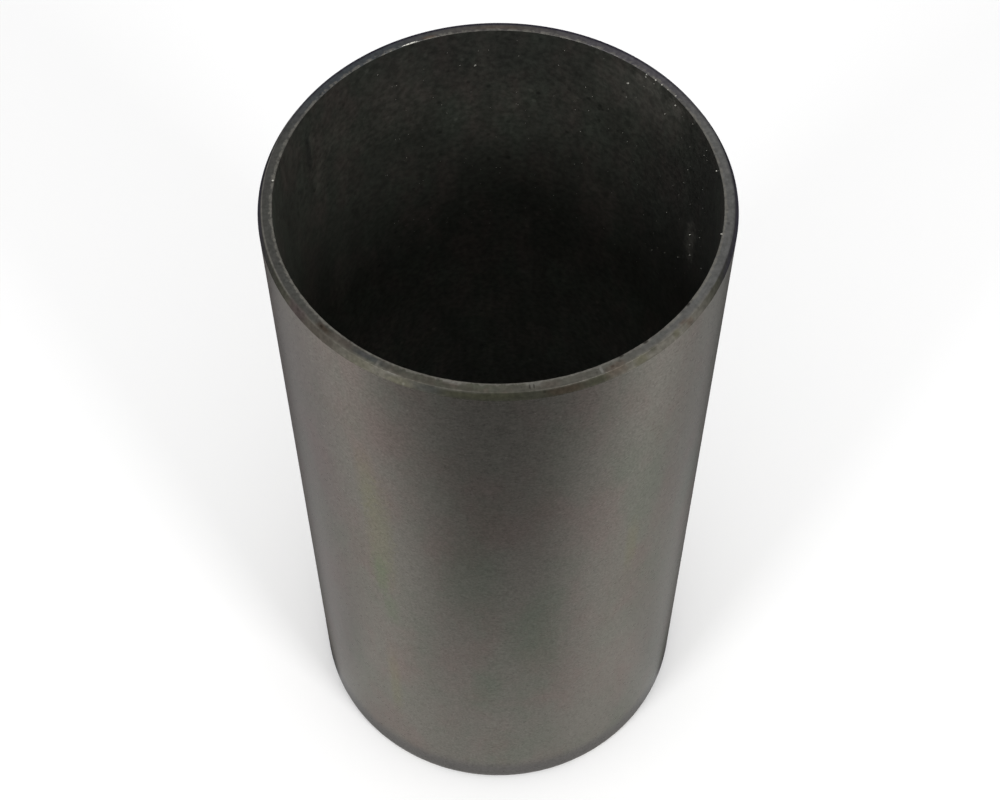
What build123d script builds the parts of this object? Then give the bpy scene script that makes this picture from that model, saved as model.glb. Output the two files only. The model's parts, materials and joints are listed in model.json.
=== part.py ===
from build123d import *
import os

# Dry cylinder liner: one plain sleeve turned from cast iron, open at both ends.
# It stands on its foot. The origin is the centre of the foot, and +Z runs up the bore.
# Lengths are in millimetres and angles in degrees.

# Driving dimensions
bore_diameter = 95.25
wall_thickness = 3.175
liner_length = 198.4
lead_in_length = 1.6  # outer chamfer at both ends, along the axis
lead_in_angle = 30.0  # slope of the outer chamfer, from the axis
bore_edge_break = 0.1  # small 45 degree chamfer round both mouths of the bore

bore_radius = bore_diameter / 2

os.makedirs("parts", exist_ok=True)

with BuildPart() as cylinder_liner:
    # The wall's blank section stands beside the axis and is turned round it
    with BuildSketch(Plane.XZ) as wall_section:
        with Locations((bore_radius, 0)):
            Rectangle(wall_thickness, liner_length, align=(Align.MIN, Align.MIN))
    revolve(axis=Axis.Z)

    # The outer edge of each end is chamfered, so that the liner starts square in its block
    round_walls = cylinder_liner.faces().filter_by(GeomType.CYLINDER).sort_by(SortBy.RADIUS)
    outer_wall = round_walls[-1]
    outer_edges = outer_wall.edges().filter_by(GeomType.CIRCLE)
    chamfer(outer_edges, length=lead_in_length, angle=lead_in_angle, reference=outer_wall)

    # The sharp edge of each mouth is broken all round
    round_walls = cylinder_liner.faces().filter_by(GeomType.CYLINDER).sort_by(SortBy.RADIUS)
    bore_wall = round_walls[0]
    bore_edges = bore_wall.edges().filter_by(GeomType.CIRCLE)
    chamfer(bore_edges, length=bore_edge_break)

cylinder_liner.part.label = "cylinder_liner"
export_step(cylinder_liner.part, "parts/cylinder_liner.step")
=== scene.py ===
import json
import math

import bpy
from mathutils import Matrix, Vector


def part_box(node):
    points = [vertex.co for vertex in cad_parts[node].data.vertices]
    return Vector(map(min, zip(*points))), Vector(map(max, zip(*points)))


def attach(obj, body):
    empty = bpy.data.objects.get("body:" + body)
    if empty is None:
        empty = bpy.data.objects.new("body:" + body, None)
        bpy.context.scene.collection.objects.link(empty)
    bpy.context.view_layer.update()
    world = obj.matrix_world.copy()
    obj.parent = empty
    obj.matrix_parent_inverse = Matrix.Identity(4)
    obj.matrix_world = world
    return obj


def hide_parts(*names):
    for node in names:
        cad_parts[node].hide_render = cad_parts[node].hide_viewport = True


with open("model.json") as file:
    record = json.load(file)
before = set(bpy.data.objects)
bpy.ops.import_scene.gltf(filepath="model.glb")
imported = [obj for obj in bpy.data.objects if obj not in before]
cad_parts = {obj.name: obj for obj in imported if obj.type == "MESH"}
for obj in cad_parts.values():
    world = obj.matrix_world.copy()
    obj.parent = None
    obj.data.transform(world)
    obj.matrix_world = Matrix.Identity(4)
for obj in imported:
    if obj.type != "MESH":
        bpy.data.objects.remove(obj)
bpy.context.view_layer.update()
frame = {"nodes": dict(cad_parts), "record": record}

# ---------------------------------------------------------------------------
# Sizes, in metres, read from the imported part
# ---------------------------------------------------------------------------

MM = 0.001
NODE = "cylinder_liner"
BODY = "root"

mount_sizes = {mount["name"]: mount["dims"] for mount in frame["record"]["mounts"]}
foot_corner, top_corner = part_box(NODE)
LENGTH = top_corner.z - foot_corner.z
BORE_RADIUS = mount_sizes["bore"]["r_mm"] * MM
OUTER_RADIUS = mount_sizes["outside"]["r_mm"] * MM
EDGE_BREAK = (LENGTH - mount_sizes["bore"]["length_mm"] * MM) / 2
LEAD_IN_LENGTH = (LENGTH - mount_sizes["outside"]["length_mm"] * MM) / 2
MOUTH_RADIUS = BORE_RADIUS + EDGE_BREAK
END_RADIUS = max(
    math.hypot(corner.co.x, corner.co.y)
    for corner in frame["nodes"][NODE].data.vertices
    if corner.co.z > top_corner.z - EDGE_BREAK / 2
)

# ---------------------------------------------------------------------------
# Sizes of what the part doesn't hold: rounding, wear, grit and a burr
#
# An azimuth is in degrees round the bore's axis: 0 in front, 90 at the right and 180 at the back.
# ---------------------------------------------------------------------------

CORNER_RADIUS = 0.09 * MM
CORNER_STEPS = 4
STEPS_ROUND = 720
WAVER_DEPTH = 0.22 * MM
WAVER_LENGTH = 1.6 * MM

# How far a face turns up or down to count as the mouth's edge or as an end, and inward as the bore
MOUTH_RISE = 0.2
END_RISE = 0.3
BORE_FACING = -0.9

GRIT_COUNT = 170
GRIT_SEED = 5
GRIT_AZIMUTHS = (96.0, 215.0)
GRIT_HEIGHTS = (0.128, 0.196)
GRIT_RADII = (0.05 * MM, 0.11 * MM)
GRAIN_FLATNESS = 0.7
GRAIN_TIP = 6.28
CHIP_RADIUS = 0.22 * MM
CHIP_SPREAD = (0.75, 1.25)

# Chips that stand out: azimuth in degrees, radius and height in millimetres
PLACED_CHIPS = [
    (-173.7, 47.58, 187.4),
    (-173.4, 47.56, 187.2),
    (142.1, 47.58, 192.0),
    (142.4, 47.56, 191.9),
    (136.6, 47.58, 197.2),
    (128.6, 47.58, 190.5),
    (116.9, 47.58, 196.4),
    (100.1, 47.58, 196.3),
    (127.8, 47.58, 141.7),
    (115.7, 47.58, 150.0),
    (111.1, 47.58, 163.0),
    (109.5, 47.58, 157.0),
    (110.3, 47.58, 160.0),
    (136.4, 47.58, 198.1),
    (133.6, 47.58, 197.0),
    (133.2, 47.62, 198.3),
    (130.9, 47.64, 198.35),
    (128.6, 47.66, 198.4),
    (125.0, 47.58, 196.0),
    (125.6, 47.80, 198.42),
    (77.4, 47.56, 198.35),
    (-94.7, 47.95, 198.42),
]

BURR_AZIMUTHS = (-158.2, -153.0)
BURR_RADIUS = MOUTH_RADIUS + 0.05 * MM
BURR_HEIGHT = LENGTH - 0.02 * MM
BURR_THICKNESS = 0.32 * MM
BURR_NOISE_SCALE = 2500.0
BURR_STEPS = 48
BURR_SIDES = 8
TIP_GAP = 0.001 * MM

# ---------------------------------------------------------------------------
# Colours, as display values from 0 to 255
# ---------------------------------------------------------------------------


def shade(red, green, blue):
    """A display colour as the linear colour that nodes take."""
    channels = []
    for value in (red, green, blue):
        value = value / 255
        channels.append(value / 12.92 if value <= 0.04045 else ((value + 0.055) / 1.055) ** 2.4)
    return (*channels, 1.0)


WHITE = (1, 1, 1, 1)
BLACK = (0, 0, 0, 1)

# The bare surfaces
GROUND_GREY = shade(128, 125, 119)
# Painted shade: the grey that darkens the foot, close above the floor
FOOT_SHADE_GREY = shade(112, 110, 108)
FACE_GREY = shade(75, 74, 65)
LEAD_IN_GREY = shade(58, 58, 50)
BORED_GREY = shade(53, 54, 49)
GRIT_GREY = shade(196, 194, 186)
BURR_GREY = shade(214, 212, 204)

# Oil, bloom, soot and painted shade
FILM_GREEN = shade(98, 116, 100)
FILM_ROSE = shade(138, 108, 108)
OIL_RUN = shade(134, 132, 100)
GREEN_RUN = shade(106, 126, 98)
ROSE_BLOOM = shade(116, 106, 110)
# Painted shade for the bore's right and far sides, and soot for one dark streak
PAINTED_SHADE_AND_SOOT = shade(26, 26, 27)

# What marks the end face and its lead-in, painted light and shade among them, from the palest to the darkest
BARE_IRON = shade(128, 127, 122)
# Painted sheen on the lead-in where it catches light, partly real wear
PALE_SHEEN_AND_WEAR = shade(112, 109, 101)
# Painted highlight where an edge catches light, partly real wear, and the scuffs in the bore
RUBBED_AND_HIGHLIGHT = shade(106, 104, 98)
# Dust in the bore, and painted sheen on the lead-in
GREY_DUST_AND_SHEEN = shade(101, 98, 90)
OLD_OIL = shade(96, 94, 77)
DULL_IRON = shade(91, 91, 90)
WORN_GREY = shade(84, 82, 76)
RUST = shade(88, 75, 65)
LILAC_GREY = shade(77, 75, 80)
WARM_GREY = shade(80, 74, 68)
STONE_GREY = shade(73, 71, 70)
SMOKED_GREY = shade(68, 68, 66)
ROSE_GREY = shade(74, 65, 65)
SLATE_GREY = shade(60, 64, 68)
GREEN_OIL = shade(63, 63, 51)
DARK_RUST = shade(60, 50, 42)
# Painted shade for the lead-in's sides and the end face's far outer edge
COLD_PAINTED_SHADE = shade(41, 39, 49)
DEEP_NICK = shade(32, 30, 27)

# ---------------------------------------------------------------------------
# Marks: azimuth and half turn in degrees, middle and half width in millimetres, raggedness, colour
# and strength. The middle is a radius on the ends and a height on the outside and in the bore.
# ---------------------------------------------------------------------------

# Broad tones of the end face, then a painted highlight along its inner edge, partly real wear, and painted
# shade along its far outer edge
FACE_TONES = [
    (-95, 75, 48.9, 3.0, 0.3, SMOKED_GREY, 0.9),
    (85, 70, 48.9, 3.0, 0.3, DULL_IRON, 0.9),
    (180, 42, 48.9, 3.0, 0.3, STONE_GREY, 0.9),
    (-138, 24, 48.9, 3.0, 0.3, SLATE_GREY, 0.8),
    (142, 24, 48.9, 3.0, 0.3, LILAC_GREY, 0.8),
    (17, 18, 48.9, 1.2, 0.9, WORN_GREY, 0.7),
    (0, 181, 47.85, 0.36, 4.5, RUBBED_AND_HIGHLIGHT, 0.75),
    (180, 68, 49.62, 0.42, 0.4, COLD_PAINTED_SHADE, 0.9),
]

# Broad tones of the lead-in: painted sheen where it catches light at the front, partly real wear, and
# painted shade on its sides; then the stretches where its inner edge is bared by rubbing and lit by a
# painted highlight
LEAD_IN_TONES = [
    (-36, 22, 50.6, 1.2, 0.6, GREY_DUST_AND_SHEEN, 0.8),
    (-33, 10, 50.6, 1.2, 0.9, PALE_SHEEN_AND_WEAR, 0.35),
    (42, 19, 50.6, 1.2, 0.6, PALE_SHEEN_AND_WEAR, 0.95),
    (-101, 34, 50.7, 1.0, 0.3, COLD_PAINTED_SHADE, 0.95),
    (96, 38, 50.7, 1.0, 0.3, COLD_PAINTED_SHADE, 0.95),
    (-82, 36, 49.86, 0.20, 0.9, RUBBED_AND_HIGHLIGHT, 0.7),
    (17, 10, 49.88, 0.16, 1.2, RUBBED_AND_HIGHLIGHT, 0.4),
    (-8, 6, 49.9, 0.2, 1.2, RUBBED_AND_HIGHLIGHT, 0.55),
]

# Stains, nicks and spots bared by rubbing on the rim, with a few short marks of painted highlight among them
RIM_STAINS = [
    (-54, 4, 50.3, 0.8, 0.9, ROSE_GREY, 0.8),
    (-46, 6, 50.4, 0.6, 0.9, WARM_GREY, 0.7),
    (-45.3, 2.6, 49.1, 0.7, 0.9, DARK_RUST, 0.75),
    (-46.4, 0.5, 49.1, 0.3, 0.5, DEEP_NICK, 0.7),
    (-40, 4, 48.9, 0.9, 0.9, WARM_GREY, 0.6),
    (-33, 3.5, 50.4, 0.7, 0.9, OLD_OIL, 0.35),
    (-32, 5, 48.7, 0.7, 0.9, SLATE_GREY, 0.5),
    (-29.2, 0.5, 49.0, 0.9, 0.9, RUBBED_AND_HIGHLIGHT, 0.7),
    (-25, 1.6, 49.9, 0.25, 0.9, RUBBED_AND_HIGHLIGHT, 0.8),
    (-23, 3, 50.6, 0.6, 0.9, OLD_OIL, 0.4),
    (-21.8, 0.3, 50.6, 0.2, 0.4, BARE_IRON, 0.3),
    (-16, 3.5, 50.3, 0.5, 0.9, SLATE_GREY, 0.35),
    (-10.5, 2.5, 48.3, 0.4, 0.9, BARE_IRON, 0.35),
    (-5.5, 7.5, 50.25, 0.38, 0.9, GREEN_OIL, 0.7),
    (2.5, 3.5, 50.2, 0.34, 0.9, GREEN_OIL, 0.5),
    (8.5, 2.4, 48.3, 0.6, 0.9, BARE_IRON, 0.35),
    (7.3, 0.22, 48.8, 0.6, 0.3, DEEP_NICK, 0.7),
    (8.3, 0.22, 48.8, 0.6, 0.3, DEEP_NICK, 0.7),
    (12, 2.5, 48.9, 0.8, 0.9, WARM_GREY, 0.5),
    (15.5, 5, 50.35, 0.5, 0.9, DARK_RUST, 0.6),
    (23.3, 3, 50.35, 0.5, 0.9, GREEN_OIL, 0.8),
    (24.7, 0.4, 48.9, 0.9, 0.6, BARE_IRON, 0.75),
    (28.2, 3.0, 49.7, 1.1, 1.2, RUST, 0.5),
    (27.5, 0.5, 49.1, 0.3, 0.5, DARK_RUST, 0.7),
    (34.6, 2.0, 50.3, 0.6, 0.9, OLD_OIL, 0.7),
    (38.2, 1.0, 50.0, 0.5, 0.9, GREEN_OIL, 0.5),
    (45.5, 1.2, 50.2, 0.5, 0.9, OLD_OIL, 0.6),
    (48.6, 1.3, 49.6, 0.5, 1.1, RUST, 0.55),
    (50.3, 1.3, 50.3, 0.5, 1.1, RUST, 0.55),
    (61, 5, 50.4, 0.6, 0.9, GREEN_OIL, 0.4),
    (30.8, 0.7, 47.8, 0.35, 0.6, DEEP_NICK, 0.8),
    (38.0, 0.8, 47.8, 0.40, 0.6, DEEP_NICK, 0.8),
    (53.6, 0.8, 47.8, 0.40, 0.6, DEEP_NICK, 0.8),
    (180, 7, 48.5, 0.5, 0.9, RUST, 0.35),
    (-161, 2.2, 48.1, 0.4, 0.9, RUST, 0.7),
]

# Bloom, and oil that has run down the outside
WALL_RUNS = [
    (-63, 22, 155, 55, 0.9, ROSE_BLOOM, 0.35),
    (-62, 20, 70, 40, 0.9, ROSE_BLOOM, 0.22),
    (62, 18, 172, 56, 0.9, DULL_IRON, 0.27),
    (-32.5, 4.5, 128, 24, 1.6, OIL_RUN, 0.22),
    (-35, 3.0, 150, 14, 1.6, OIL_RUN, 0.16),
    (-32.5, 2.2, 48, 18, 1.6, OIL_RUN, 0.22),
    (-33.5, 2.6, 108, 9, 1.6, GREEN_RUN, 0.30),
    (-31, 2.6, 92, 7, 1.6, GREEN_RUN, 0.22),
    (38, 2.2, 119, 12, 1.6, OIL_RUN, 0.20),
    (-6, 9, 120, 26, 1.6, FILM_GREEN, 0.16),
    (11, 7, 88, 24, 1.6, FILM_GREEN, 0.20),
    (-3, 5, 58, 14, 1.6, FILM_GREEN, 0.18),
]

# Painted shade on the bore's right and far sides, a streak of soot, and scuffs and dust in the bore
BORE_TONES = [
    (86, 40, 196, 36, 0.6, PAINTED_SHADE_AND_SOOT, 0.55),
    (-173, 40, 200, 20, 0.8, PAINTED_SHADE_AND_SOOT, 0.40),
    (112, 28, 158, 28, 1.2, PAINTED_SHADE_AND_SOOT, 0.42),
    (84, 34, 120, 44, 0.6, PAINTED_SHADE_AND_SOOT, 0.30),
    (136, 14, 190, 7, 1.8, RUBBED_AND_HIGHLIGHT, 0.16),
    (110.5, 3.0, 161, 7, 2.4, RUBBED_AND_HIGHLIGHT, 0.30),
    (125, 3.0, 195, 2.5, 2.4, RUBBED_AND_HIGHLIGHT, 0.30),
    (135, 4.0, 196, 2.5, 2.4, RUBBED_AND_HIGHLIGHT, 0.30),
    (-150, 12, 182, 12, 1.8, GREY_DUST_AND_SHEEN, 0.10),
    (-117.5, 1.3, 187, 7, 1.6, PAINTED_SHADE_AND_SOOT, 0.50),
    (-129, 5, 184, 4, 2.4, GREY_DUST_AND_SHEEN, 0.14),
    (-121.5, 2.5, 177, 4.5, 2.4, GREY_DUST_AND_SHEEN, 0.18),
]

# ---------------------------------------------------------------------------
# Node building
# ---------------------------------------------------------------------------

GEOMETRY = "NodeSocketGeometry"
FLOAT = "NodeSocketFloat"
WHOLE = "NodeSocketInt"
VECTOR = "NodeSocketVector"
MATERIAL = "NodeSocketMaterial"

# The places of a Mix node's factor, its two colours and their mix
MIX_FACTOR, MIX_FIRST, MIX_SECOND, MIX_RESULT = 0, 6, 7, 2


def feed(tree, socket, value):
    """Links an output to an input socket, or fills the socket with a plain value."""
    if isinstance(value, bpy.types.NodeSocket):
        tree.links.new(value, socket)
    else:
        socket.default_value = value


def add_node(tree, kind, inputs=None, **settings):
    """Adds a node, sets its properties, and links or fills its inputs by name or place."""
    node = tree.nodes.new(kind)
    for name, value in settings.items():
        setattr(node, name, value)
    for key, value in (inputs or {}).items():
        feed(tree, node.inputs[key], value)
    return node


def calculate(tree, operation, *values, clamp=False):
    """A Math node, by its operation, and its output."""
    inputs = dict(enumerate(values))
    node = add_node(tree, "ShaderNodeMath", inputs, operation=operation, use_clamp=clamp)
    return node.outputs[0]


def vector_math(tree, operation, *vectors, **named):
    """A Vector Math node, by its operation, and its outputs."""
    inputs = {**dict(enumerate(vectors)), **named}
    return add_node(tree, "ShaderNodeVectorMath", inputs, operation=operation).outputs


def vector_from(tree, **parts):
    """A vector from its X, Y and Z, where a part that isn't given is 0."""
    return add_node(tree, "ShaderNodeCombineXYZ", parts).outputs[0]


def parts_of(tree, vector):
    """The X, Y and Z of a vector, by name."""
    return add_node(tree, "ShaderNodeSeparateXYZ", {0: vector}).outputs


def off_axis(tree, place):
    """A place's level direction off the bore's axis, and its radius."""
    level = vector_math(tree, "MULTIPLY", place, (1, 1, 0))["Vector"]
    outward = vector_math(tree, "NORMALIZE", level)["Vector"]
    radius = vector_math(tree, "LENGTH", level)["Value"]
    return outward, radius


def fade(tree, value, start, end, low=0.0, high=1.0):
    """A smooth step of a value, from low at start to high at end."""
    inputs = {"Value": value, "From Min": start, "From Max": end, "To Min": low, "To Max": high}
    node = add_node(tree, "ShaderNodeMapRange", inputs, interpolation_type="SMOOTHSTEP")
    return node.outputs[0]


def noise_at(tree, place, scale, detail, roughness=0.5):
    """A cloudy noise from 0 to 1, at a place."""
    inputs = {"Vector": place, "Scale": scale, "Detail": detail, "Roughness": roughness}
    return add_node(tree, "ShaderNodeTexNoise", inputs).outputs[0]


def swing(tree, noise, amount):
    """A noise's swing to either side of its middle, by an amount."""
    return calculate(tree, "MULTIPLY", calculate(tree, "SUBTRACT", noise, 0.5), amount)


def mix_colours(tree, factor, first, second):
    """A colour between the first, at 0, and the second, at 1."""
    inputs = {MIX_FACTOR: factor, MIX_FIRST: first, MIX_SECOND: second}
    return add_node(tree, "ShaderNodeMix", inputs, data_type="RGBA").outputs[MIX_RESULT]


def new_tree(name, kind, inputs, outputs):
    """A node group with its named sockets, its input node's outputs and its output node's inputs."""
    tree = bpy.data.node_groups.new(name, kind)
    for direction, sockets in (("INPUT", inputs), ("OUTPUT", outputs)):
        for socket_name, socket_type in sockets.items():
            tree.interface.new_socket(socket_name, in_out=direction, socket_type=socket_type)
    given = tree.nodes.new("NodeGroupInput").outputs
    result = tree.nodes.new("NodeGroupOutput").inputs
    return tree, given, result


# ---------------------------------------------------------------------------
# Geometry: the sleeve is its wall's section turned round the bore's axis
# ---------------------------------------------------------------------------


def coat(tree, geometry, finish, where=True):
    """Lays a finish on a mesh, or on some of its faces."""
    inputs = {"Geometry": geometry, "Selection": where, "Material": finish}
    return add_node(tree, "GeometryNodeSetMaterial", inputs).outputs[0]


def make_real(tree, geometry):
    """What a tree has built, with its instances made real."""
    return add_node(tree, "GeometryNodeRealizeInstances", {"Geometry": geometry}).outputs[0]


def section_outline(tree, given):
    """The wall's section as a closed curve: X outward from the bore wall, Y down from the top end."""
    wall = calculate(tree, "SUBTRACT", given["Outer Radius"], given["Bore Radius"])
    face = calculate(tree, "SUBTRACT", given["End Radius"], given["Bore Radius"])
    edge_break = given["Edge Break"]
    lead_in = given["Lead-in Length"]
    length = given["Length"]
    section = [
        (edge_break, 0.0),
        (face, 0.0),
        (wall, lead_in),
        (wall, calculate(tree, "SUBTRACT", length, lead_in)),
        (face, length),
        (edge_break, length),
        (0.0, calculate(tree, "SUBTRACT", length, edge_break)),
        (0.0, edge_break),
    ]
    place = add_node(tree, "GeometryNodeIndexSwitch", data_type="VECTOR")
    while len(place.index_switch_items) < len(section):
        place.index_switch_items.new()
    index = add_node(tree, "GeometryNodeInputIndex").outputs[0]
    tree.links.new(index, place.inputs["Index"])
    for number, (outward, down) in enumerate(section):
        tree.links.new(vector_from(tree, X=outward, Y=down), place.inputs[number + 1])
    line = add_node(tree, "GeometryNodeMeshLine", {"Count": len(section)}).outputs[0]
    corners = {"Geometry": line, "Position": place.outputs[0]}
    placed = add_node(tree, "GeometryNodeSetPosition", corners).outputs[0]
    outline = add_node(tree, "GeometryNodeMeshToCurve", {"Mesh": placed}).outputs[0]
    ring = {"Geometry": outline, "Cyclic": True}
    closed = add_node(tree, "GeometryNodeSetSplineCyclic", ring).outputs[0]
    rounding = {"Curve": closed, "Radius": given["Corner Radius"], "Count": given["Corner Steps"]}
    return add_node(tree, "GeometryNodeFilletCurve", rounding, mode="POLY").outputs[0]


def swept_section(tree, given):
    """The section swept round the bore's axis, from the top end down."""
    turn = {"Resolution": given["Steps Round"], "Radius": given["Bore Radius"]}
    circle = add_node(tree, "GeometryNodeCurvePrimitiveCircle", turn, mode="RADIUS").outputs[0]
    lift = {"Geometry": circle, "Translation": vector_from(tree, Z=given["Length"])}
    raised = add_node(tree, "GeometryNodeTransform", lift).outputs[0]
    sweep = {"Curve": raised, "Profile Curve": section_outline(tree, given)}
    return add_node(tree, "GeometryNodeCurveToMesh", sweep).outputs[0]


def wavering_mouth(tree, given, sleeve, place, rise):
    """Moves the broken edge of each mouth in and out a little, as a hand-dressed edge does."""
    outward, radius = off_axis(tree, place)
    mouth = calculate(tree, "ADD", given["Bore Radius"], given["Edge Break"])
    reach = calculate(tree, "SUBTRACT", radius, mouth)
    near_mouth = calculate(tree, "LESS_THAN", reach, given["Corner Radius"])
    turned_up = calculate(tree, "GREATER_THAN", rise, MOUTH_RISE)
    on_mouth = calculate(tree, "MULTIPLY", near_mouth, turned_up)
    scale = calculate(tree, "DIVIDE", 1.0, given["Waver Length"])
    waver = swing(tree, noise_at(tree, place, scale, detail=2.0), given["Waver Depth"])
    push = calculate(tree, "MULTIPLY", waver, on_mouth)
    shift = vector_math(tree, "SCALE", outward, Scale=push)["Vector"]
    return add_node(tree, "GeometryNodeSetPosition", {"Geometry": sleeve, "Offset": shift}).outputs[0]


def turned_sleeve_tree():
    """The sleeve, with a slightly uneven mouth and a finish on each surface."""
    tree, given, result = new_tree(
        "turned_sleeve",
        "GeometryNodeTree",
        {
            "Geometry": GEOMETRY,
            "Bore Radius": FLOAT,
            "Outer Radius": FLOAT,
            "End Radius": FLOAT,
            "Length": FLOAT,
            "Lead-in Length": FLOAT,
            "Edge Break": FLOAT,
            "Corner Radius": FLOAT,
            "Corner Steps": WHOLE,
            "Steps Round": WHOLE,
            "Waver Depth": FLOAT,
            "Waver Length": FLOAT,
            "Outside Finish": MATERIAL,
            "End Finish": MATERIAL,
            "Bore Finish": MATERIAL,
        },
        {"Geometry": GEOMETRY},
    )
    sleeve = swept_section(tree, given)
    place = add_node(tree, "GeometryNodeInputPosition").outputs[0]
    normal = add_node(tree, "GeometryNodeInputNormal").outputs[0]
    rise = calculate(tree, "ABSOLUTE", parts_of(tree, normal)["Z"])
    sleeve = make_real(tree, wavering_mouth(tree, given, sleeve, place, rise))

    outward = off_axis(tree, place)[0]
    facing = vector_math(tree, "DOT_PRODUCT", normal, outward)["Value"]
    in_bore = calculate(tree, "LESS_THAN", facing, BORE_FACING)
    at_end = calculate(tree, "GREATER_THAN", rise, END_RISE)
    sleeve = coat(tree, sleeve, given["Outside Finish"])
    sleeve = coat(tree, sleeve, given["Bore Finish"], in_bore)
    sleeve = coat(tree, sleeve, given["End Finish"], at_end)
    tree.links.new(sleeve, result[0])
    return tree


def ring_position(tree, azimuth, radius, height):
    """A point round the axis, from its azimuth, its radius and its height."""
    turn = calculate(tree, "RADIANS", azimuth)
    across = calculate(tree, "MULTIPLY", calculate(tree, "SINE", turn), radius)
    ahead = calculate(tree, "MULTIPLY", calculate(tree, "COSINE", turn), radius)
    return vector_from(tree, X=across, Y=calculate(tree, "MULTIPLY", ahead, -1.0), Z=height)


def pick(tree, low, high, seed, stream):
    """A random number between two values, one for each point, from a numbered stream of the seed."""
    number = add_node(tree, "FunctionNodeInputInt", integer=stream).outputs[0]
    mixed = calculate(tree, "ADD", seed, number)
    node = add_node(tree, "FunctionNodeRandomValue", data_type="FLOAT")
    shown = {socket.name: socket for socket in node.inputs if socket.enabled}
    for name, value in (("Min", low), ("Max", high), ("Seed", mixed)):
        feed(tree, shown[name], value)
    return next(socket for socket in node.outputs if socket.enabled)


def grit_tree():
    """Chips and dust stuck to the bore: grains on the points given, and more scattered over a stretch."""
    tree, given, result = new_tree(
        "bore_grit",
        "GeometryNodeTree",
        {
            "Geometry": GEOMETRY,
            "Count": WHOLE,
            "Seed": WHOLE,
            "Radius": FLOAT,
            "Azimuth From": FLOAT,
            "Azimuth To": FLOAT,
            "Height From": FLOAT,
            "Height To": FLOAT,
            "Smallest": FLOAT,
            "Largest": FLOAT,
            "Placed Size": FLOAT,
            "Grit Finish": MATERIAL,
        },
        {"Geometry": GEOMETRY},
    )
    seed = given["Seed"]
    azimuth = pick(tree, given["Azimuth From"], given["Azimuth To"], seed, stream=1)
    height = pick(tree, given["Height From"], given["Height To"], seed, stream=2)
    spot = ring_position(tree, azimuth, given["Radius"], height)
    scattered = add_node(tree, "GeometryNodePoints", {"Count": given["Count"], "Position": spot}).outputs[0]
    placed = add_node(tree, "GeometryNodeMeshToPoints", {"Mesh": given["Geometry"]}).outputs[0]
    grain = add_node(tree, "GeometryNodeMeshIcoSphere", {"Radius": 1.0, "Subdivisions": 1}).outputs[0]
    small = pick(tree, given["Smallest"], given["Largest"], seed, stream=3)
    spread = pick(tree, *CHIP_SPREAD, seed, stream=4)
    large = calculate(tree, "MULTIPLY", given["Placed Size"], spread)
    joined = tree.nodes.new("GeometryNodeJoinGeometry")
    for points, size in ((scattered, small), (placed, large)):
        tip = pick(tree, 0.0, GRAIN_TIP, seed, stream=5)
        roll = pick(tree, 0.0, GRAIN_TIP, seed, stream=6)
        flat = calculate(tree, "MULTIPLY", size, GRAIN_FLATNESS)
        grains = {
            "Points": points,
            "Instance": grain,
            "Rotation": vector_from(tree, X=tip, Y=roll),
            "Scale": vector_from(tree, X=size, Y=flat, Z=size),
        }
        chips = add_node(tree, "GeometryNodeInstanceOnPoints", grains).outputs[0]
        tree.links.new(chips, joined.inputs[0])
    real = make_real(tree, joined.outputs[0])
    tree.links.new(coat(tree, real, given["Grit Finish"]), result[0])
    return tree


def burr_tree():
    """A sliver of metal turned over along the mouth of the bore, thin at both ends and uneven."""
    tree, given, result = new_tree(
        "mouth_burr",
        "GeometryNodeTree",
        {
            "Geometry": GEOMETRY,
            "Azimuth From": FLOAT,
            "Azimuth To": FLOAT,
            "Radius": FLOAT,
            "Height": FLOAT,
            "Thickness": FLOAT,
            "Burr Finish": MATERIAL,
        },
        {"Geometry": GEOMETRY},
    )
    line = add_node(tree, "GeometryNodeMeshLine", {"Count": BURR_STEPS}).outputs[0]
    strip = add_node(tree, "GeometryNodeMeshToCurve", {"Mesh": line}).outputs[0]
    share = add_node(tree, "GeometryNodeSplineParameter").outputs["Factor"]
    span = {"Value": share, "To Min": given["Azimuth From"], "To Max": given["Azimuth To"]}
    azimuth = add_node(tree, "ShaderNodeMapRange", span).outputs[0]
    place = ring_position(tree, azimuth, given["Radius"], given["Height"])
    laid = add_node(tree, "GeometryNodeSetPosition", {"Geometry": strip, "Position": place}).outputs[0]

    swell = calculate(tree, "SINE", calculate(tree, "MULTIPLY", share, math.pi))
    uneven = noise_at(tree, place, BURR_NOISE_SCALE, detail=1.0)
    half = calculate(tree, "MULTIPLY", calculate(tree, "MULTIPLY", swell, uneven), given["Thickness"])
    sides = {"Resolution": BURR_SIDES, "Radius": 1.0}
    ring = add_node(tree, "GeometryNodeCurvePrimitiveCircle", sides).outputs[0]
    sweep = {"Curve": laid, "Profile Curve": ring, "Scale": half, "Fill Caps": True}
    swept = add_node(tree, "GeometryNodeCurveToMesh", sweep).outputs[0]

    # Each end of the sweep shrinks to a point, so its ring is merged into one corner
    tips = {"Geometry": swept, "Distance": TIP_GAP}
    pointed = add_node(tree, "GeometryNodeMergeByDistance", tips).outputs[0]
    real = make_real(tree, pointed)
    tree.links.new(coat(tree, real, given["Burr Finish"]), result[0])
    return tree


def add_object(name, data):
    """An object for a mesh, a lamp or a camera, in the scene."""
    item = bpy.data.objects.new(name, data)
    bpy.context.scene.collection.objects.link(item)
    return item


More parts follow.
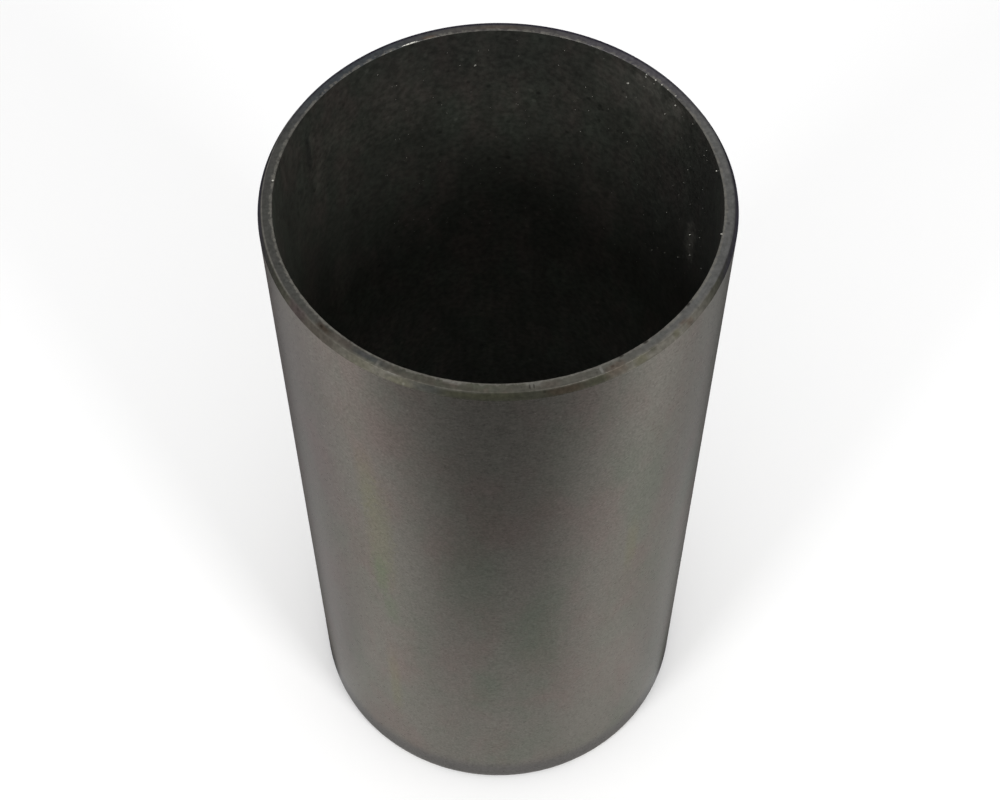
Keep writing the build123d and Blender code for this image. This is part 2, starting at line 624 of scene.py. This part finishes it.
def grow(name, tree, settings, points=()):
    """Runs a geometry tree on some points, with its inputs set by name, and keeps a plain mesh."""
    start = bpy.data.meshes.new(name + "_start")
    start.from_pydata(list(points), [], [])
    carrier = add_object(name + "_carrier", start)
    modifier = carrier.modifiers.new(name, "NODES")
    modifier.node_group = tree
    for item in tree.interface.items_tree:
        if item.in_out == "INPUT" and item.name in settings:
            modifier[item.identifier] = settings[item.name]
    evaluated = carrier.evaluated_get(bpy.context.evaluated_depsgraph_get())
    mesh = bpy.data.meshes.new_from_object(evaluated)
    carrier.modifiers.remove(modifier)
    bpy.data.objects.remove(carrier)
    mesh.name = name
    return add_object(name, mesh)


def smooth_by_size(piece):
    """Smooth shading that keeps flat faces flat: the large faces set the normals at their edges."""
    for polygon in piece.data.polygons:
        polygon.use_smooth = True
    modifier = piece.modifiers.new("even_normals", "WEIGHTED_NORMAL")
    modifier.mode = "FACE_AREA"
    modifier.weight = 100
    evaluated = piece.evaluated_get(bpy.context.evaluated_depsgraph_get())
    mesh = bpy.data.meshes.new_from_object(evaluated)
    piece.modifiers.remove(modifier)
    piece.data = mesh


# ---------------------------------------------------------------------------
# Shared shader groups
# ---------------------------------------------------------------------------

PORE_SPACING = 0.6
PORE_EDGE = (0.35, 0.12)

FILM_DRAW = (1.0, 1.0, 0.5)
FILM_SHIFTS = {"Green": (0.0, 0.0, 0.0), "Rose": (3.1, 1.7, 0.4)}
FILM_EDGE = (0.42, 0.72)

PATCH_SQUARENESS = 3.0
PATCH_NOISE_SCALE = 900.0
PATCH_EDGE = (1.35, 0.35)
STRAIGHT_BACK = 180.0


def turning_marks_tree():
    """Fine rings left by the tool: noise that is long round the sleeve and short along its section."""
    tree, given, result = new_tree(
        "turning_marks",
        "ShaderNodeTree",
        {"Vector": VECTOR, "Pitch": FLOAT, "Arc": FLOAT},
        {"Height": FLOAT},
    )
    around, radius = off_axis(tree, given["Vector"])
    arcs = calculate(tree, "DIVIDE", OUTER_RADIUS, given["Arc"])
    spread = vector_math(tree, "SCALE", around, Scale=arcs)["Vector"]
    along = calculate(tree, "ADD", parts_of(tree, given["Vector"])["Z"], radius)
    rings = vector_from(tree, Z=calculate(tree, "DIVIDE", along, given["Pitch"]))
    place = vector_math(tree, "ADD", spread, rings)["Vector"]
    height = noise_at(tree, place, scale=1.0, detail=3.0, roughness=0.6)
    tree.links.new(height, result["Height"])
    return tree


def grain_tree():
    """The open grain of grey iron: an even fine mottle, with a few dark pores and bright glints."""
    tree, given, result = new_tree(
        "iron_grain",
        "ShaderNodeTree",
        {"Vector": VECTOR, "Grain": FLOAT, "Pores": FLOAT, "Glints": FLOAT},
        {"Mottle": FLOAT, "Pore": FLOAT, "Glint": FLOAT},
    )
    scale = calculate(tree, "DIVIDE", 1.0, given["Grain"])
    mottle = noise_at(tree, given["Vector"], scale, detail=2.0, roughness=0.55)
    tree.links.new(mottle, result["Mottle"])
    spacing = {"Vector": given["Vector"], "Scale": calculate(tree, "MULTIPLY", scale, PORE_SPACING)}
    cells = add_node(tree, "ShaderNodeTexVoronoi", spacing).outputs
    draws = add_node(tree, "ShaderNodeSeparateColor", {0: cells["Color"]}).outputs
    core = fade(tree, cells["Distance"], *PORE_EDGE)
    for draw, name, share in ((draws[0], "Pore", given["Pores"]), (draws[1], "Glint", given["Glints"])):
        chosen = calculate(tree, "LESS_THAN", draw, share)
        tree.links.new(calculate(tree, "MULTIPLY", chosen, core), result[name])
    return tree


def film_tree():
    """Thin old oil and first rust: soft clouds that lean green in one place and rose in another."""
    tree, given, result = new_tree(
        "oil_film",
        "ShaderNodeTree",
        {"Vector": VECTOR, "Cloud": FLOAT},
        {"Green": FLOAT, "Rose": FLOAT},
    )
    scale = calculate(tree, "DIVIDE", 1.0, given["Cloud"])
    for name, shift in FILM_SHIFTS.items():
        drawn = vector_math(tree, "MULTIPLY", given["Vector"], FILM_DRAW)["Vector"]
        moved = vector_math(tree, "ADD", drawn, shift)["Vector"]
        cloud = noise_at(tree, moved, scale, detail=5.0, roughness=0.62)
        tree.links.new(fade(tree, cloud, *FILM_EDGE), result[name])
    return tree


def patch_tree():
    """One patch on a ring round the axis, from its middle and its half-lengths, with a ragged edge."""
    tree, given, result = new_tree(
        "ring_patch",
        "ShaderNodeTree",
        {
            "Vector": VECTOR,
            "Across": FLOAT,
            "Azimuth": FLOAT,
            "Half Turn": FLOAT,
            "Middle": FLOAT,
            "Half Width": FLOAT,
            "Ragged": FLOAT,
        },
        {"Mask": FLOAT},
    )
    parts = parts_of(tree, given["Vector"])
    ahead = calculate(tree, "MULTIPLY", parts["Y"], -1.0)
    turn = calculate(tree, "DEGREES", calculate(tree, "ARCTAN2", parts["X"], ahead))
    past = calculate(tree, "SUBTRACT", turn, given["Azimuth"])
    away = calculate(tree, "WRAP", past, STRAIGHT_BACK, -STRAIGHT_BACK)
    along = calculate(tree, "DIVIDE", calculate(tree, "ABSOLUTE", away), given["Half Turn"])
    aside = calculate(tree, "ABSOLUTE", calculate(tree, "SUBTRACT", given["Across"], given["Middle"]))
    across = calculate(tree, "DIVIDE", aside, given["Half Width"])
    powers = [calculate(tree, "POWER", share, PATCH_SQUARENESS) for share in (along, across)]
    reach = calculate(tree, "POWER", calculate(tree, "ADD", *powers), 1 / PATCH_SQUARENESS)
    noise = noise_at(tree, given["Vector"], PATCH_NOISE_SCALE, detail=3.0, roughness=0.6)
    torn = calculate(tree, "ADD", reach, swing(tree, noise, given["Ragged"]))
    tree.links.new(fade(tree, torn, *PATCH_EDGE), result["Mask"])
    return tree


# ---------------------------------------------------------------------------
# Finishes
# ---------------------------------------------------------------------------

# The parts of each noise that a finish spreads out, and what it makes of them
MOTTLE_SPAN = (0.25, 0.75)
RING_SPAN = (0.25, 0.75)
PORE_SPAN = (0.0, 1.0)
ROUGH_SPAN = (0.2, 0.8)
ROUGH_SWING = 0.04
MOTTLE_RELIEF = 0.5

# Heights between which painted shade darkens the foot, a painted highlight lightens its lowest edge, and
# painted light makes the lower bore paler
FOOT_SHADE_FADE = (0.0125, 0.0055)
FOOT_HIGHLIGHT_FADE = (0.0030, 0.0018)
FOOT_HIGHLIGHT_GAIN = 1.25
DEEP_LIGHT_FADE = (0.150, 0.070)
DEEP_LIGHT_GAIN = 2.3

# Radii between which the end face gives way to its lead-in
LEAD_IN_FADE = (END_RADIUS - 0.02 * MM, END_RADIUS + 0.10 * MM)

OUTSIDE_EDGE_TINT = (0.37, 0.37, 0.37, 1)
END_EDGE_TINT = (0.5, 0.5, 0.5, 1)
BORE_METALLIC = 0.3
BORE_SPECULAR = 0.25

FINE_GRAIN = 0.0002
FINE_SPAN = (0.3, 0.7)
FINE_LIGHT = (0.6, 1.2)


def new_finish(name):
    """A material with an empty tree but for its output, its Principled BSDF and its coordinates."""
    finish = bpy.data.materials.new(name)
    finish.use_nodes = True
    tree = finish.node_tree
    tree.nodes.clear()
    output = tree.nodes.new("ShaderNodeOutputMaterial")
    surface = tree.nodes.new("ShaderNodeBsdfPrincipled")
    tree.links.new(surface.outputs[0], output.inputs["Surface"])
    place = tree.nodes.new("ShaderNodeTexCoord").outputs["Object"]
    return finish, tree, surface, place


def use_group(tree, group, inputs):
    """Places a shader group in a material with its own values, and gives its outputs."""
    return add_node(tree, "ShaderNodeGroup", inputs, node_tree=group).outputs


def iron_finish(name, effects, base, roughness, relief, rings, grain, film):
    """Cut grey iron: a colour broken by tool rings, open grain and an old film, each with its own amount."""
    finish, tree, surface, place = new_finish(name)
    marks = use_group(
        tree,
        effects["marks"],
        {"Vector": place, "Pitch": rings["pitch"], "Arc": rings["arc"]},
    )
    grains = use_group(
        tree,
        effects["grain"],
        {"Vector": place, "Grain": grain["size"], "Pores": grain["pores"], "Glints": grain["glints"]},
    )
    clouds = use_group(tree, effects["film"], {"Vector": place, "Cloud": film["size"]})
    green = calculate(tree, "MULTIPLY", clouds["Green"], film["amount"])
    rose = calculate(tree, "MULTIPLY", clouds["Rose"], film["amount"])
    colour = mix_colours(tree, green, base, FILM_GREEN)
    colour = mix_colours(tree, rose, colour, FILM_ROSE)

    mottle_light = fade(tree, grains["Mottle"], *MOTTLE_SPAN, 1 - grain["contrast"], 1 + grain["contrast"])
    ring_light = fade(tree, marks["Height"], *RING_SPAN, 1 - rings["contrast"], 1 + rings["contrast"])
    pore_light = fade(tree, grains["Pore"], *PORE_SPAN, 1.0, 1 - grain["pore_depth"])
    glint_light = calculate(tree, "MULTIPLY", grains["Glint"], grain["glint_light"])
    light = calculate(tree, "MULTIPLY", mottle_light, ring_light)
    light = calculate(tree, "MULTIPLY", light, pore_light)
    light = calculate(tree, "ADD", light, glint_light)

    rough = fade(tree, marks["Height"], *ROUGH_SPAN, roughness - ROUGH_SWING, roughness + ROUGH_SWING)
    tree.links.new(rough, surface.inputs["Roughness"])
    grain_height = calculate(tree, "MULTIPLY", grains["Mottle"], MOTTLE_RELIEF)
    height = calculate(tree, "ADD", marks["Height"], grain_height)
    bump = add_node(tree, "ShaderNodeBump", {"Height": height, "Strength": 1.0, "Distance": relief})
    tree.links.new(bump.outputs[0], surface.inputs["Normal"])
    surface.inputs["Metallic"].default_value = 1.0
    return finish, tree, surface, place, colour, light


def lay_marks(tree, effects, place, across, colour, marks):
    """Lays marks over a colour, one upon the other, by azimuth and by the distance across their ring."""
    for azimuth, half_turn, middle, half_width, ragged, tone, strength in marks:
        patch = {
            "Vector": place,
            "Across": across,
            "Azimuth": azimuth,
            "Half Turn": half_turn,
            "Middle": middle * MM,
            "Half Width": half_width * MM,
            "Ragged": ragged,
        }
        mask = use_group(tree, effects["patch"], patch)["Mask"]
        colour = mix_colours(tree, calculate(tree, "MULTIPLY", mask, strength), colour, tone)
    return colour


def lit_colour(tree, surface, colour, light):
    """Sends a colour, made lighter or darker by its light, to the surface."""
    toned = vector_math(tree, "SCALE", colour, Scale=light)["Vector"]
    tree.links.new(toned, surface.inputs["Base Color"])


def ground_outside(effects):
    """The outside wall: ground and even, with a fine speckle, oil runs, painted shade that darkens the foot
    and a painted highlight along its lowest edge.
    """
    finish, tree, surface, place, colour, light = iron_finish(
        "ground_outside",
        effects,
        GROUND_GREY,
        roughness=0.30,
        relief=0.004 * MM,
        rings={"pitch": 0.0006, "arc": 0.002, "contrast": 0.06},
        grain={
            "size": 0.00058,
            "pores": 0.02,
            "pore_depth": 0.25,
            "glints": 0.035,
            "glint_light": 0.26,
            "contrast": 0.16,
        },
        film={"size": 0.016, "amount": 0.22},
    )
    height = parts_of(tree, place)["Z"]
    colour = lay_marks(tree, effects, place, height, colour, WALL_RUNS)
    # Painted shade darkens the foot, and a painted highlight lightens its lowest edge
    colour = mix_colours(tree, fade(tree, height, *FOOT_SHADE_FADE), colour, FOOT_SHADE_GREY)
    # Painted highlight: the lowest edge of the wall is made lighter
    foot_highlight = fade(tree, height, *FOOT_HIGHLIGHT_FADE, 1.0, FOOT_HIGHLIGHT_GAIN)
    lit_colour(tree, surface, colour, calculate(tree, "MULTIPLY", light, foot_highlight))
    surface.inputs["Specular Tint"].default_value = OUTSIDE_EDGE_TINT
    return finish


def turned_end(effects):
    """The end faces and their lead-ins: turned, darker, stained and bared by rubbing in places, with painted
    highlights on their edges, painted sheen on the lead-in at the front and painted shade on its sides.
    """
    finish, tree, surface, place, colour, light = iron_finish(
        "turned_end",
        effects,
        FACE_GREY,
        roughness=0.42,
        relief=0.004 * MM,
        rings={"pitch": 0.0003, "arc": 0.006, "contrast": 0.08},
        grain={
            "size": 0.0009,
            "pores": 0.06,
            "pore_depth": 0.3,
            "glints": 0.05,
            "glint_light": 0.25,
            "contrast": 0.18,
        },
        film={"size": 0.005, "amount": 0.15},
    )
    radius = off_axis(tree, place)[1]
    colour = lay_marks(tree, effects, place, radius, colour, FACE_TONES)
    colour = mix_colours(tree, fade(tree, radius, *LEAD_IN_FADE), colour, LEAD_IN_GREY)
    colour = lay_marks(tree, effects, place, radius, colour, LEAD_IN_TONES + RIM_STAINS)
    lit_colour(tree, surface, colour, light)
    surface.inputs["Specular Tint"].default_value = END_EDGE_TINT
    return finish


def bored_inside(effects):
    """The bore: dull and dark, mottled, with fine bright points, painted shade on its right and far sides,
    and painted light that makes its lower part paler.
    """
    finish, tree, surface, place, colour, light = iron_finish(
        "bored_inside",
        effects,
        BORED_GREY,
        roughness=0.5,
        relief=0.006 * MM,
        rings={"pitch": 0.0012, "arc": 0.002, "contrast": 0.10},
        grain={
            "size": 0.0014,
            "pores": 0.06,
            "pore_depth": 0.4,
            "glints": 0.05,
            "glint_light": 0.6,
            "contrast": 0.27,
        },
        film={"size": 0.008, "amount": 0.08},
    )
    height = parts_of(tree, place)["Z"]
    colour = lay_marks(tree, effects, place, height, colour, BORE_TONES)
    # Painted light: the lower part of the bore is made paler
    deep_light = fade(tree, height, *DEEP_LIGHT_FADE, 1.0, DEEP_LIGHT_GAIN)
    lit_colour(tree, surface, colour, calculate(tree, "MULTIPLY", light, deep_light))
    surface.inputs["Metallic"].default_value = BORE_METALLIC
    surface.inputs["Specular IOR Level"].default_value = BORE_SPECULAR
    return finish


def plain_metal(name, effects, base, roughness):
    """Bright cut metal for chips and burrs."""
    finish, tree, surface, place = new_finish(name)
    plain = {"Vector": place, "Grain": FINE_GRAIN, "Pores": 0.0, "Glints": 0.0}
    grains = use_group(tree, effects["grain"], plain)
    light = fade(tree, grains["Mottle"], *FINE_SPAN, *FINE_LIGHT)
    lit_colour(tree, surface, base[:3], light)
    surface.inputs["Metallic"].default_value = 1.0
    surface.inputs["Roughness"].default_value = roughness
    return finish


# ---------------------------------------------------------------------------
# The liner
# ---------------------------------------------------------------------------


def ring_place(azimuth, radius, height):
    """A point round the axis, from its azimuth, its radius and its height."""
    turn = math.radians(azimuth)
    return (radius * math.sin(turn), -radius * math.cos(turn), height)


def make_liner(effects):
    """The sleeve itself, which stands for the whole CAD part."""
    liner = grow(
        "liner_sleeve",
        turned_sleeve_tree(),
        {
            "Bore Radius": BORE_RADIUS,
            "Outer Radius": OUTER_RADIUS,
            "End Radius": END_RADIUS,
            "Length": LENGTH,
            "Lead-in Length": LEAD_IN_LENGTH,
            "Edge Break": EDGE_BREAK,
            "Corner Radius": CORNER_RADIUS,
            "Corner Steps": CORNER_STEPS,
            "Steps Round": STEPS_ROUND,
            "Waver Depth": WAVER_DEPTH,
            "Waver Length": WAVER_LENGTH,
            "Outside Finish": ground_outside(effects),
            "End Finish": turned_end(effects),
            "Bore Finish": bored_inside(effects),
        },
    )
    smooth_by_size(liner)
    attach(liner, BODY)
    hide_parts(NODE)


def make_grit(effects):
    """The grit on the bore wall, and the chips on it and at its mouth."""
    chips = [ring_place(azimuth, radius * MM, height * MM) for azimuth, radius, height in PLACED_CHIPS]
    grit = grow(
        "bore_grit",
        grit_tree(),
        {
            "Count": GRIT_COUNT,
            "Seed": GRIT_SEED,
            "Radius": BORE_RADIUS,
            "Azimuth From": GRIT_AZIMUTHS[0],
            "Azimuth To": GRIT_AZIMUTHS[1],
            "Height From": GRIT_HEIGHTS[0],
            "Height To": GRIT_HEIGHTS[1],
            "Smallest": GRIT_RADII[0],
            "Largest": GRIT_RADII[1],
            "Placed Size": CHIP_RADIUS,
            "Grit Finish": plain_metal("bright_grit", effects, GRIT_GREY, roughness=0.5),
        },
        chips,
    )
    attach(grit, BODY)


def make_burr(effects):
    """The burr on the far edge of the mouth."""
    burr = grow(
        "mouth_burr",
        burr_tree(),
        {
            "Azimuth From": BURR_AZIMUTHS[0],
            "Azimuth To": BURR_AZIMUTHS[1],
            "Radius": BURR_RADIUS,
            "Height": BURR_HEIGHT,
            "Thickness": BURR_THICKNESS,
            "Burr Finish": plain_metal("bright_burr", effects, BURR_GREY, roughness=0.45),
        },
    )
    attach(burr, BODY)


effects = {
    "marks": turning_marks_tree(),
    "grain": grain_tree(),
    "film": film_tree(),
    "patch": patch_tree(),
}
make_liner(effects)
make_grit(effects)
make_burr(effects)

# ---------------------------------------------------------------------------
# Studio
# ---------------------------------------------------------------------------

FLOOR_HALF = 6.0
FLOOR_GREY = (0.8, 0.8, 0.8, 1)
AIR_FILL = 0.86

# The gloss card's ring
CARD_LIFT = 0.5 * MM
CARD_INNER = OUTER_RADIUS + 0.5 * MM
CARD_OUTER = 1.2
CARD_STEPS = 96

# The card out in front: pale up to one distance, and dark from another
CARD_PALE_TO = 0.045
CARD_DARK_FROM = 0.165
CARD_DARK = 0.165

# The card at either side, by its distance from the middle line
CARD_BESIDE = (0.032, 0.080)
CARD_BESIDE_LEVELS = (1.03, 1.36)

# The brighter part of it close to the foot, by its radius and by the sine of its azimuth
CARD_CLOSE = (0.098, 0.066)
CARD_CLOSE_SIDE = (0.1, 0.8)
CARD_CLOSE_END = (0.84, 0.98)
CARD_CLOSE_GAIN = 0.26

# The dark wedge behind, by its swing in degrees about a pivot on each side, and the card past it
WEDGE_PIVOT_ASIDE = 0.046
WEDGE_PIVOT_BACK = -0.0215
WEDGE_SWING = (36, 63)
WEDGE_END = (88, 116)
WEDGE_BACK = 0.8

SOFTBOX_SIDE = 0.25
SOFTBOX_DISTANCE = 1.0

CAMERA_PLACE = (0.0, -0.25102, 0.50516)
CAMERA_DIP = 56.963
CAMERA_LENS = 67.28
CAMERA_SENSOR = 36.0
CAMERA_SHIFT = 0.0018
CAMERA_NEAR = 0.01


def seen_directly(tree):
    """1 for the rays that show a backdrop to the camera, in gloss or through glass, and 0 for the rest."""
    path = tree.nodes.new("ShaderNodeLightPath").outputs
    seen = calculate(tree, "ADD", path["Is Camera Ray"], path["Is Glossy Ray"], clamp=True)
    return calculate(tree, "ADD", seen, path["Is Transmission Ray"], clamp=True)


def make_floor():
    """A paper floor, pure white where it is seen and a little darker where it throws light back."""
    finish, tree, surface, place = new_finish("white_paper")
    colour = mix_colours(tree, seen_directly(tree), FLOOR_GREY, WHITE)
    tree.links.new(colour, surface.inputs["Base Color"])
    surface.inputs["Roughness"].default_value = 1.0
    surface.inputs["Specular IOR Level"].default_value = 0.0
    corners = [
        (-FLOOR_HALF, -FLOOR_HALF, 0),
        (FLOOR_HALF, -FLOOR_HALF, 0),
        (FLOOR_HALF, FLOOR_HALF, 0),
        (-FLOOR_HALF, FLOOR_HALF, 0),
    ]
    mesh = bpy.data.meshes.new("paper_floor")
    mesh.from_pydata(corners, [], [(0, 1, 2, 3)])
    mesh.materials.append(finish)
    floor = add_object("paper_floor", mesh)


def card_level(tree, place):
    """The card's level: brightest beside the liner, darker out in front, and dark in a wedge behind."""
    parts = parts_of(tree, place)
    aside = calculate(tree, "ABSOLUTE", parts["X"])
    in_front = fade(tree, parts["Y"], -CARD_PALE_TO, -CARD_DARK_FROM, 1.0, CARD_DARK)

    radius = vector_math(tree, "LENGTH", place)["Value"]
    sine = calculate(tree, "DIVIDE", aside, radius)
    off_front = fade(tree, sine, *CARD_CLOSE_SIDE)
    off_side = fade(tree, sine, *CARD_CLOSE_END, 1.0, 0.0)
    between = calculate(tree, "MULTIPLY", off_front, off_side)
    close = calculate(tree, "MULTIPLY", fade(tree, radius, *CARD_CLOSE), between)
    close_gain = fade(tree, close, 0.0, 1.0, 1.0, 1.0 + CARD_CLOSE_GAIN)
    beside = fade(tree, aside, *CARD_BESIDE, *CARD_BESIDE_LEVELS)
    beside = calculate(tree, "MULTIPLY", beside, close_gain)

    past_pivot = calculate(tree, "SUBTRACT", aside, WEDGE_PIVOT_ASIDE)
    behind_pivot = calculate(tree, "SUBTRACT", parts["Y"], WEDGE_PIVOT_BACK)
    angle = calculate(tree, "DEGREES", calculate(tree, "ARCTAN2", behind_pivot, past_pivot))
    before_wedge = fade(tree, angle, *WEDGE_SWING, 1.0, 0.0)
    past_wedge = fade(tree, angle, *WEDGE_END, 0.0, WEDGE_BACK)
    behind = calculate(tree, "ADD", before_wedge, past_wedge)
    return calculate(tree, "MULTIPLY", calculate(tree, "MULTIPLY", in_front, beside), behind)


def make_gloss_card():
    """A round card that lies close about the liner's foot and glows, and that only gloss sees."""
    finish, tree, surface, place = new_finish("gloss_card")
    tree.links.new(card_level(tree, place), surface.inputs["Emission Color"])
    surface.inputs["Emission Strength"].default_value = 1.0
    surface.inputs["Base Color"].default_value = BLACK
    surface.inputs["Specular IOR Level"].default_value = 0.0
    corners = []
    for step in range(CARD_STEPS):
        azimuth = 360 * step / CARD_STEPS
        corners.append(ring_place(azimuth, CARD_INNER, CARD_LIFT))
        corners.append(ring_place(azimuth, CARD_OUTER, CARD_LIFT))
    sheets = []
    for step in range(CARD_STEPS):
        here = 2 * step
        there = 2 * ((step + 1) % CARD_STEPS)
        sheets.append((here, here + 1, there + 1, there))
    mesh = bpy.data.meshes.new("gloss_card")
    mesh.from_pydata(corners, [], sheets)
    mesh.materials.append(finish)
    card = add_object("gloss_card", mesh)
    card.visible_camera = False
    card.visible_diffuse = False
    card.visible_shadow = False


def make_world():
    """White air that is seen at its full level and lights at a lower one."""
    world = bpy.data.worlds.new("studio_air")
    bpy.context.scene.world = world
    world.use_nodes = True
    tree = world.node_tree
    tree.nodes.clear()
    output = tree.nodes.new("ShaderNodeOutputWorld")
    level = fade(tree, seen_directly(tree), 0.0, 1.0, AIR_FILL, 1.0)
    sky = add_node(tree, "ShaderNodeBackground", {"Color": WHITE, "Strength": level})
    tree.links.new(sky.outputs[0], output.inputs[0])


def make_softbox(name, azimuth, elevation, watts):
    """A square softbox about the liner's top end, aimed at it, that the camera doesn't see."""
    climb = math.radians(elevation)
    level = SOFTBOX_DISTANCE * math.cos(climb)
    place = Vector(ring_place(azimuth, level, LENGTH + SOFTBOX_DISTANCE * math.sin(climb)))
    aim = Vector((0, 0, LENGTH))
    lamp = bpy.data.lights.new(name, "AREA")
    lamp.shape = "SQUARE"
    lamp.size = SOFTBOX_SIDE
    lamp.energy = watts
    box = add_object(name, lamp)
    box.location = place
    box.rotation_euler = (aim - place).to_track_quat("-Z", "Y").to_euler()
    box.visible_camera = False


def make_camera():
    """The camera, in front of the liner and above it, looking down into the bore."""
    lens = bpy.data.cameras.new("camera")
    lens.lens = CAMERA_LENS
    lens.sensor_width = CAMERA_SENSOR
    lens.shift_x = CAMERA_SHIFT
    lens.clip_start = CAMERA_NEAR
    camera = add_object("camera", lens)
    camera.location = CAMERA_PLACE
    camera.rotation_euler = (math.radians(90 - CAMERA_DIP), 0, 0)
    bpy.context.scene.camera = camera


make_gloss_card()
make_floor()
make_world()
make_softbox("left_softbox", azimuth=-42, elevation=27, watts=3.0)
make_softbox("right_softbox", azimuth=40, elevation=30, watts=3.25)
make_camera()
bpy.context.scene.view_settings.view_transform = "Standard"
